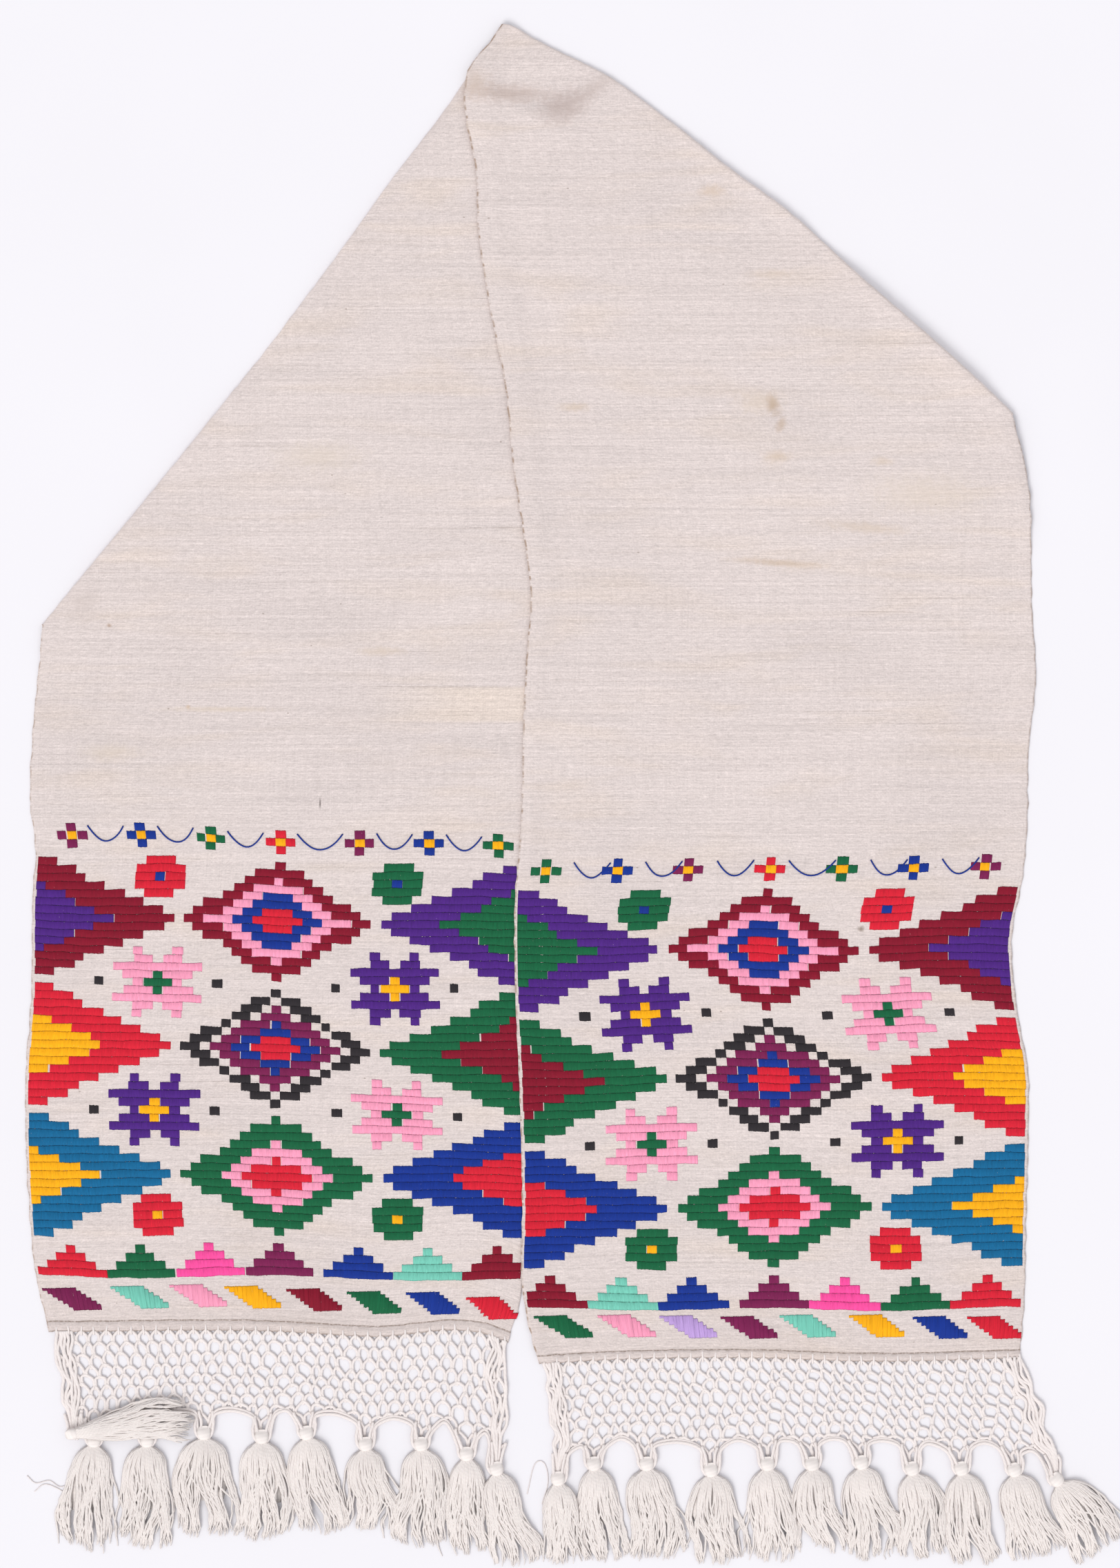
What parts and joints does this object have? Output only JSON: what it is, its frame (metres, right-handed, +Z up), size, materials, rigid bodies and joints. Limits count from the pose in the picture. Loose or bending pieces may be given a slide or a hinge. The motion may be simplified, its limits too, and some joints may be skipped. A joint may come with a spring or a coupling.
{
  "type": "rushnyk",
  "caption": "Long embroidered linen towel laid flat with two diagonal folds, its two ends side by side, each with a hem, a knotted net and tied tassels.",
  "frame": {"origin": "middle of the laid piece's outline, on the surface it lies on", "axes": "+X to the right, +Y from the tassels to the folded point, +Z up from the surface"},
  "size_m": [0.8894, 1.2473, 0.0104],
  "materials": {
    "linen": "homespun off-white linen with slubs, bands of satin-stitch embroidery",
    "yarn": "soft matt off-white cord and crinkled yarn"
  },
  "bodies": {
    "root": {"cloth": "linen", "net_left": "yarn", "net_right": "yarn", "tassel_left_0": "yarn", "tassel_left_1": "yarn", "tassel_left_2": "yarn", "tassel_left_3": "yarn", "tassel_left_4": "yarn", "tassel_left_5": "yarn", "tassel_left_6": "yarn", "tassel_left_7": "yarn", "tassel_left_8": "yarn", "tassel_left_9": "yarn", "tassel_right_0": "yarn", "tassel_right_1": "yarn", "tassel_right_2": "yarn", "tassel_right_3": "yarn", "tassel_right_4": "yarn", "tassel_right_5": "yarn", "tassel_right_6": "yarn", "tassel_right_7": "yarn", "tassel_right_8": "yarn", "tassel_right_9": "yarn", "tassel_right_10": "yarn"}
  },
  "joints": []
}
